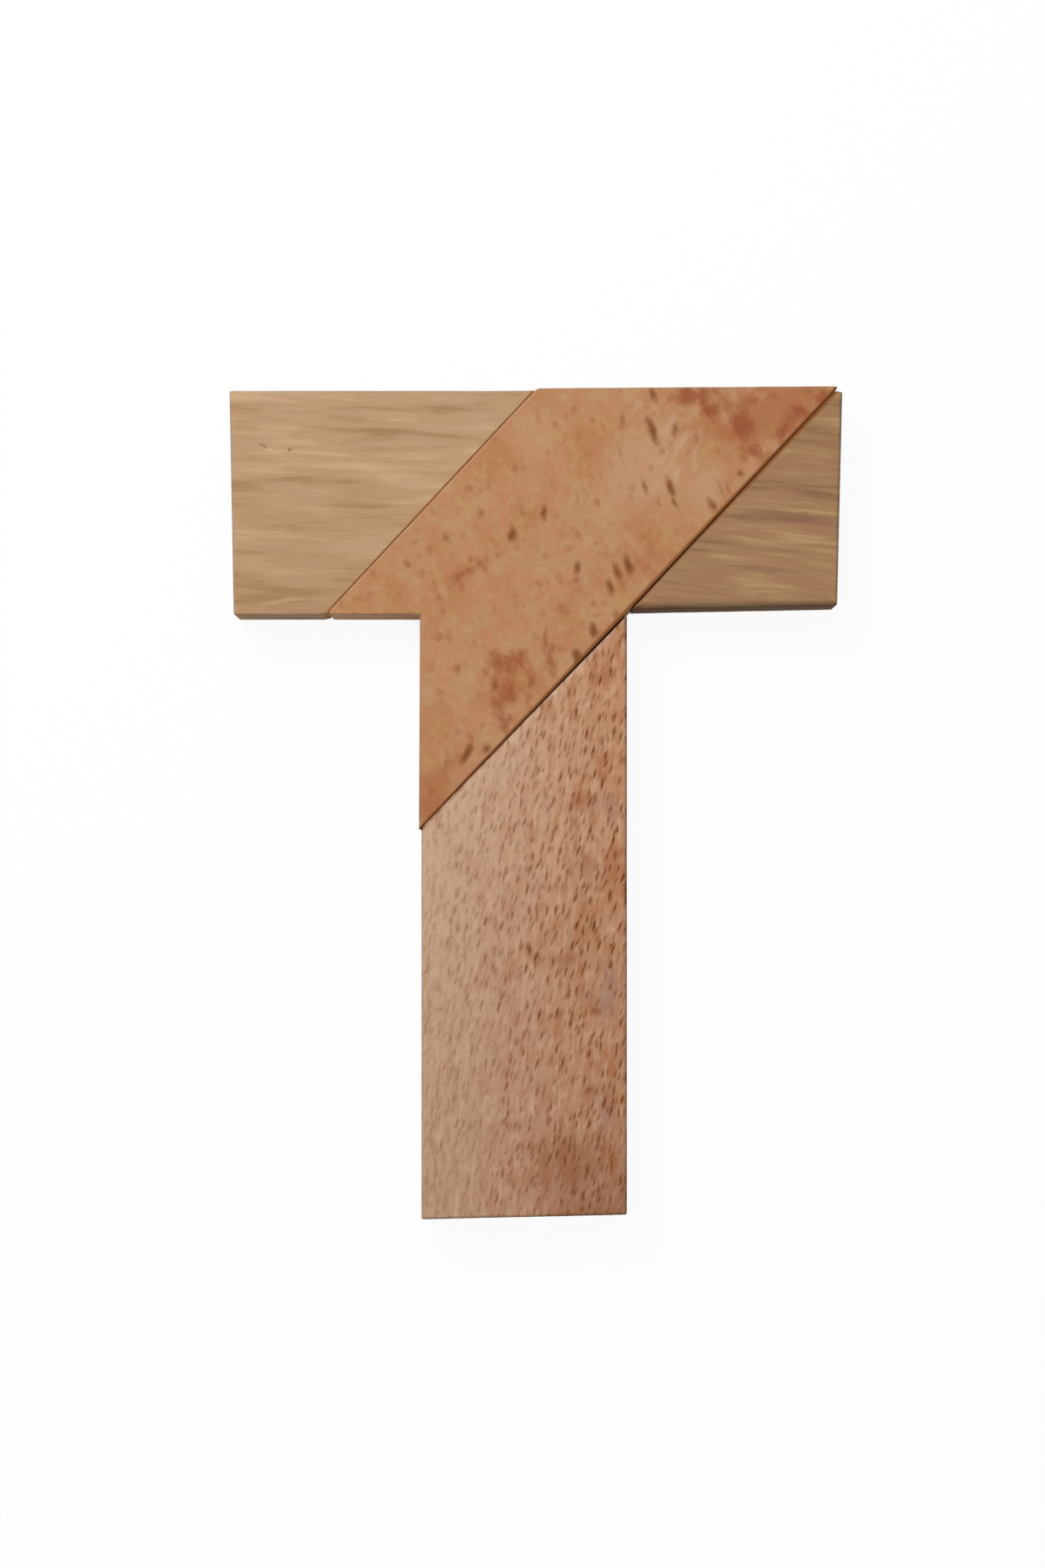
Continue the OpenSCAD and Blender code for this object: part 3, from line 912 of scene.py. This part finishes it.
# The dashes are fainter on the left, under the painted sheen.
strength = add(tree, "MapRange", {0: sheen_to_red, 1: 0.0, 2: 0.7, 3: 0.35, 4: 1.0}).outputs[0]
clusters = add(tree, "MapRange", {0: rosy, 1: 0.3, 2: 0.7, 3: 0.65, 4: 1.2}).outputs[0]
strength = reckon(tree, "MULTIPLY", strength, clusters)
colour = dye(tree, colour, tone(124, 68, 30), reckon(tree, "MULTIPLY", dashes, strength), 0.95)
# Brown beside the long joint: joint grime, and painted shade in the groove.
joint_grime_and_shade = beside_cut(tree, swayed, LONG_CUT[0], LONG_CUT[1], 0.3, 0.75)
colour = dye(tree, colour, tone(150, 88, 44), joint_grime_and_shade, 0.7)
# Torn fibres along the stem's cut, lightened as a painted highlight where the light from the upper left
# catches them.
torn_fibre_highlight = beside_cut(tree, swayed, STEM_CUT[0], STEM_CUT[1], 0.3, 1.6)
torn_fibre_highlight = reckon(tree, "MULTIPLY", torn_fibre_highlight, step_up(tree, fibres, 0.36, 0.62))
torn_fibre_highlight = reckon(tree, "MULTIPLY", torn_fibre_highlight, rise(tree, grid, 1, 36, 28))
colour = dye(tree, colour, tone(230, 192, 158), torn_fibre_highlight, 0.3)
finish_wood(tree, colour, reckon(tree, "SUBTRACT", 1.0, dashes), (0.94, 0.88, 0.83))
materials["stem"] = material
print("beech recipe has", len(tree.nodes), "steps")

# %% Dressing
for name, piece in boards.items():
    piece.data.materials.append(materials[name])
    print(piece.name, "wears", materials[name].name)

# %% [markdown]
# The pieces were photographed from straight above, from about half a metre. At that distance the
# sides that face away from the middle of the view still show as thin strips, so the camera has
# to stand where the real one stood. The picture's middle isn't right under the lens, and a small
# lens shift moves the picture without tilting the camera.

# %% Camera
CAMERA_HEIGHT = 535.0
LENS_FOOT = (0.3, -14.9)
VIEW_HEIGHT = 304.9
VIEW_MIDDLE = (-2.6, 3.63)
SENSOR = 36.0

camera_data = bpy.data.cameras.new("above")
camera_data.sensor_fit = "VERTICAL"
camera_data.sensor_height = SENSOR
camera_data.lens = SENSOR * (CAMERA_HEIGHT - thickness) / VIEW_HEIGHT
camera_data.shift_x = (VIEW_MIDDLE[0] - LENS_FOOT[0]) / VIEW_HEIGHT
camera_data.shift_y = (VIEW_MIDDLE[1] - LENS_FOOT[1]) / VIEW_HEIGHT
camera_data.clip_start = 0.01
camera = bpy.data.objects.new("above", camera_data)
camera.location = Vector((LENS_FOOT[0], LENS_FOOT[1], CAMERA_HEIGHT)) * MM
bpy.context.scene.collection.objects.link(camera)
bpy.context.scene.camera = camera
shift = round(camera_data.shift_x, 4), round(camera_data.shift_y, 4)
print("lens", round(camera_data.lens, 1), "mm, shift", shift)

# %% [markdown]
# The ground is a sheet of plain white. In the photograph it is so white that it hides nearly all
# shadow, so what the camera sees of it is mostly a white glow over a little real paper, which
# keeps a faint shadow. Light that bounces off it comes from ordinary paper. Deep in the joints
# no light reaches the ground, and the glow would shine through there. Ambient occlusion tells
# such walled-in places from the open ground and puts the glow out.

# %% Ground
GROUND_REACH = 2.0
GROUND_DEPTH = 0.02
GLOW = 0.94
WALLED_IN, OPEN = 0.14, 0.25
WALL_REACH = 10.0


def seen_directly(tree):
    """1 for rays from the camera, straight or by a reflection, and 0 for light that bounces."""
    path = add(tree, "LightPath", {}).outputs
    mirrored = reckon(tree, "MAXIMUM", path["Is Glossy Ray"], path["Is Transmission Ray"])
    return reckon(tree, "MAXIMUM", path["Is Camera Ray"], mirrored)


corners = [(-1, -1), (1, -1), (1, 1), (-1, 1)]
ground_mesh = bpy.data.meshes.new("white_ground")
ground_mesh.from_pydata([(x * GROUND_REACH, y * GROUND_REACH, 0) for x, y in corners], [], [(0, 1, 2, 3)])
ground = bpy.data.objects.new("white_ground", ground_mesh)
ground.location.z = -GROUND_DEPTH * MM
bpy.context.scene.collection.objects.link(ground)

paper_white = bpy.data.materials.new("white_ground")
paper_white.use_nodes = True
tree = paper_white.node_tree
tree.nodes.clear()
bounced = add(tree, "BsdfDiffuse", {"Color": (0.72, 0.7, 0.68, 1)}).outputs[0]
seen = add(tree, "BsdfDiffuse", {"Color": (0.98, 0.98, 0.98, 1)}).outputs[0]
# In walled-in places the ground is dark brown: painted shade, warmed like light bounced off wood.
shaded = add(tree, "BsdfDiffuse", {"Color": (0.3, 0.2, 0.13, 1)}).outputs[0]
glow = add(tree, "Emission", {"Color": (1, 1, 1, 1), "Strength": 1.0}).outputs[0]
openness = add(tree, "AmbientOcclusion", {"Distance": WALL_REACH * MM}, samples=8).outputs["AO"]
lit = add(tree, "MixShader", {0: GLOW, 1: seen, 2: glow}).outputs[0]
lit = add(tree, "MixShader", {0: step_up(tree, openness, WALLED_IN, OPEN), 1: shaded, 2: lit}).outputs[0]
surface = add(tree, "MixShader", {0: seen_directly(tree), 1: bounced, 2: lit}).outputs[0]
add(tree, "OutputMaterial", {"Surface": surface})
ground_mesh.materials.append(paper_white)
print("ground reaches", GROUND_REACH, "m each way")

# %% [markdown]
# The light is soft and comes from the upper left, so sides that face right or down are dark. An
# even glow from all round fills the shadows.

# %% Light
FILL = 0.35
KEY_PLACE = (-0.45, 0.65, 0.75)
KEY_SIZE = 0.5
KEY_POWER = 9.45

world = bpy.data.worlds.new("studio")
bpy.context.scene.world = world
world.use_nodes = True
sky = world.node_tree
sky.nodes.clear()
ambient = add(sky, "Background", {"Color": (1, 1, 1, 1), "Strength": FILL}).outputs[0]
backdrop = add(sky, "Background", {"Color": (1, 1, 1, 1), "Strength": 1.0}).outputs[0]
surface = add(sky, "MixShader", {0: seen_directly(sky), 1: ambient, 2: backdrop}).outputs[0]
add(sky, "OutputWorld", {"Surface": surface})

lamp_data = bpy.data.lights.new("key", "AREA")
lamp_data.size = KEY_SIZE
lamp_data.energy = KEY_POWER
lamp = bpy.data.objects.new("key", lamp_data)
lamp.location = KEY_PLACE
lamp.rotation_euler = (-Vector(KEY_PLACE)).to_track_quat("-Z", "Y").to_euler()
bpy.context.scene.collection.objects.link(lamp)
bpy.context.scene.view_settings.view_transform = "Standard"
print("key light of", KEY_POWER, "W and a fill of", FILL)

# %% [markdown]
# Each board stands for one imported piece and rides on the same body, and the imported piece is hidden.
# The boards may not outgrow the model that they stand for.

# %% Hand-over
for name, piece in boards.items():
    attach(piece, "root")
    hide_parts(name)
